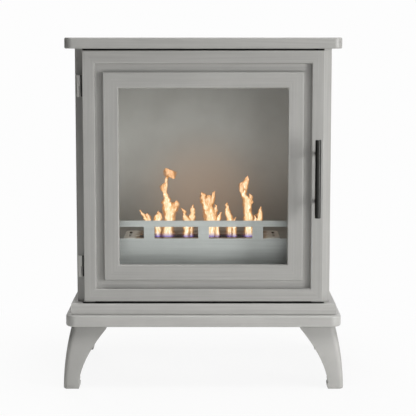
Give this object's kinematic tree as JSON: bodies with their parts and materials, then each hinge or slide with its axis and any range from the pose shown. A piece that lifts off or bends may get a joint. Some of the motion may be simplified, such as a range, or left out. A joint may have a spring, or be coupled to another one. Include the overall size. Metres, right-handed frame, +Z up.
{
  "type": "bioethanol fireplace",
  "caption": "Free-standing bioethanol fireplace: painted sheet casing with a hinged glass door, a lift-out burner with a sliding flame shutter, and cast legs.",
  "frame": {"origin": "on the floor, under the middle of the outline, handle and feet included", "axes": "+Z up, -Y out of the door, +X to the right as seen from the front"},
  "size_m": [0.57, 0.417, 0.7102],
  "materials": {
    "paint": "warm grey heat-resistant paint on folded steel sheet, satin, faintly streaked",
    "cast_paint": "warm grey heat-resistant paint on cast iron, satin",
    "chamber_paint": "grey heat-resistant paint, matt, faintly sooted",
    "stainless": "brushed stainless steel, heat-tinted round the flame opening",
    "handle_metal": "dark gunmetal, satin",
    "fastener": "blackened steel",
    "door_glass": "clear heat-resistant glass ceramic, 4 mm",
    "gasket_tape": "woven glass-fibre tape, dark grey",
    "fibre_wool": "off-white ceramic fibre wool",
    "magnet": "black ferrite magnet block",
    "flame": "glowing ethanol flame, look only"
  },
  "bodies": {
    "cabinet": {"top_plate": "paint", "plinth_step": "paint", "plinth_plate": "paint", "leg_front_left": "cast_paint", "leg_front_right": "cast_paint", "leg_rear_right": "cast_paint", "leg_rear_left": "cast_paint", "leg_bolt_front_left": "fastener", "leg_bolt_front_right": "fastener", "leg_bolt_rear_right": "fastener", "leg_bolt_rear_left": "fastener", "cabinet_base_panel": "paint", "cabinet_top_panel": "paint", "side_panel_right": "paint", "side_panel_left": "paint", "front_rail_top": "paint", "front_rail_bottom": "paint", "rear_panel": "paint", "rear_panel_screw_1": "fastener", "rear_panel_screw_2": "fastener", "rear_panel_screw_3": "fastener", "rear_panel_screw_4": "fastener", "firebox_wall_right": "chamber_paint", "firebox_wall_left": "chamber_paint", "firebox_back": "chamber_paint", "firebox_ceiling": "chamber_paint", "firebox_floor": "chamber_paint", "burner_shelf": "chamber_paint", "flame_guard": "stainless", "magnet_catch": "magnet", "hinge_upper_cabinet_leaf": "paint", "hinge_upper_pin": "fastener", "hinge_lower_cabinet_leaf": "paint", "hinge_lower_pin": "fastener"},
    "door": {"door_outer_frame": "paint", "door_channel_panel": "paint", "door_inner_frame": "paint", "glass_gasket": "gasket_tape", "door_glass": "door_glass", "glass_retainer": "fastener", "retainer_screw_1": "fastener", "retainer_screw_2": "fastener", "retainer_screw_3": "fastener", "retainer_screw_4": "fastener", "handle_bar": "handle_metal", "handle_post_upper": "handle_metal", "handle_post_lower": "handle_metal", "handle_screw_upper": "fastener", "handle_screw_lower": "fastener", "strike_plate": "stainless", "hinge_upper_door_leaf": "paint", "hinge_lower_door_leaf": "paint"},
    "burner": {"burner_box": "stainless", "burner_wool": "fibre_wool", "burner_top_plate": "stainless"},
    "flame_shutter": {"shutter_plate": "stainless", "shutter_pin_left": "fastener", "shutter_pin_right": "fastener"}
  },
  "joints": [
    {"name": "door_hinge", "type": "hinge", "parent": "cabinet", "child": "door", "pos_m": [-0.251, -0.1525, 0.43115], "axis": [0, 0, -1], "range_deg": [0, 110]},
    {"name": "burner_lift", "type": "slide", "parent": "cabinet", "child": "burner", "axis": [0, 0, 1], "range_m": [0, 0.11]},
    {"name": "shutter_slide", "type": "slide", "parent": "burner", "child": "flame_shutter", "axis": [0, -1, 0], "range_m": [0, 0.052]}
  ]
}
